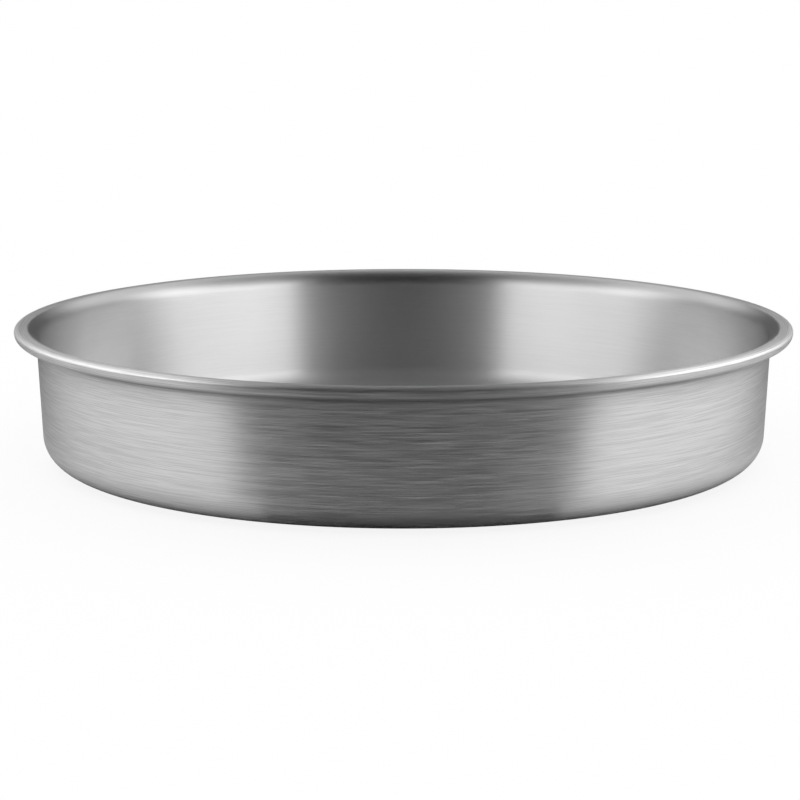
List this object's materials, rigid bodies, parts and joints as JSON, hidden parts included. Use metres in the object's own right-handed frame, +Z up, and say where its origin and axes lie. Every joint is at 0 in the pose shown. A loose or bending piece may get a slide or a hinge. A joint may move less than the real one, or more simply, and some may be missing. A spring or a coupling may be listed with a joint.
{
  "type": "shallow tart pan",
  "caption": "Shallow round baking pan for tarts: a smooth brushed-metal side ring with an outward-rolled rim and a turned-in foot that carries a loose, lift-out flat base.",
  "frame": {"origin": "centre of the pan's underside, on the surface it stands on", "axes": "+Z up along the pan's axis; -Y towards the viewer of the picture and +X to the viewer's right"},
  "size_m": [0.2448, 0.2448, 0.0429],
  "materials": {
    "ring_metal": "brushed around the pan outside, finer satin inside",
    "base_metal": "satin, finely turned in rings"
  },
  "bodies": {
    "ring": {"side_ring": "ring_metal"},
    "base": {"loose_base": "base_metal"}
  },
  "joints": [
    {"name": "base_lift", "type": "slide", "parent": "ring", "child": "base", "axis": [0, 0, 1], "range_m": [0, 0.06]}
  ]
}
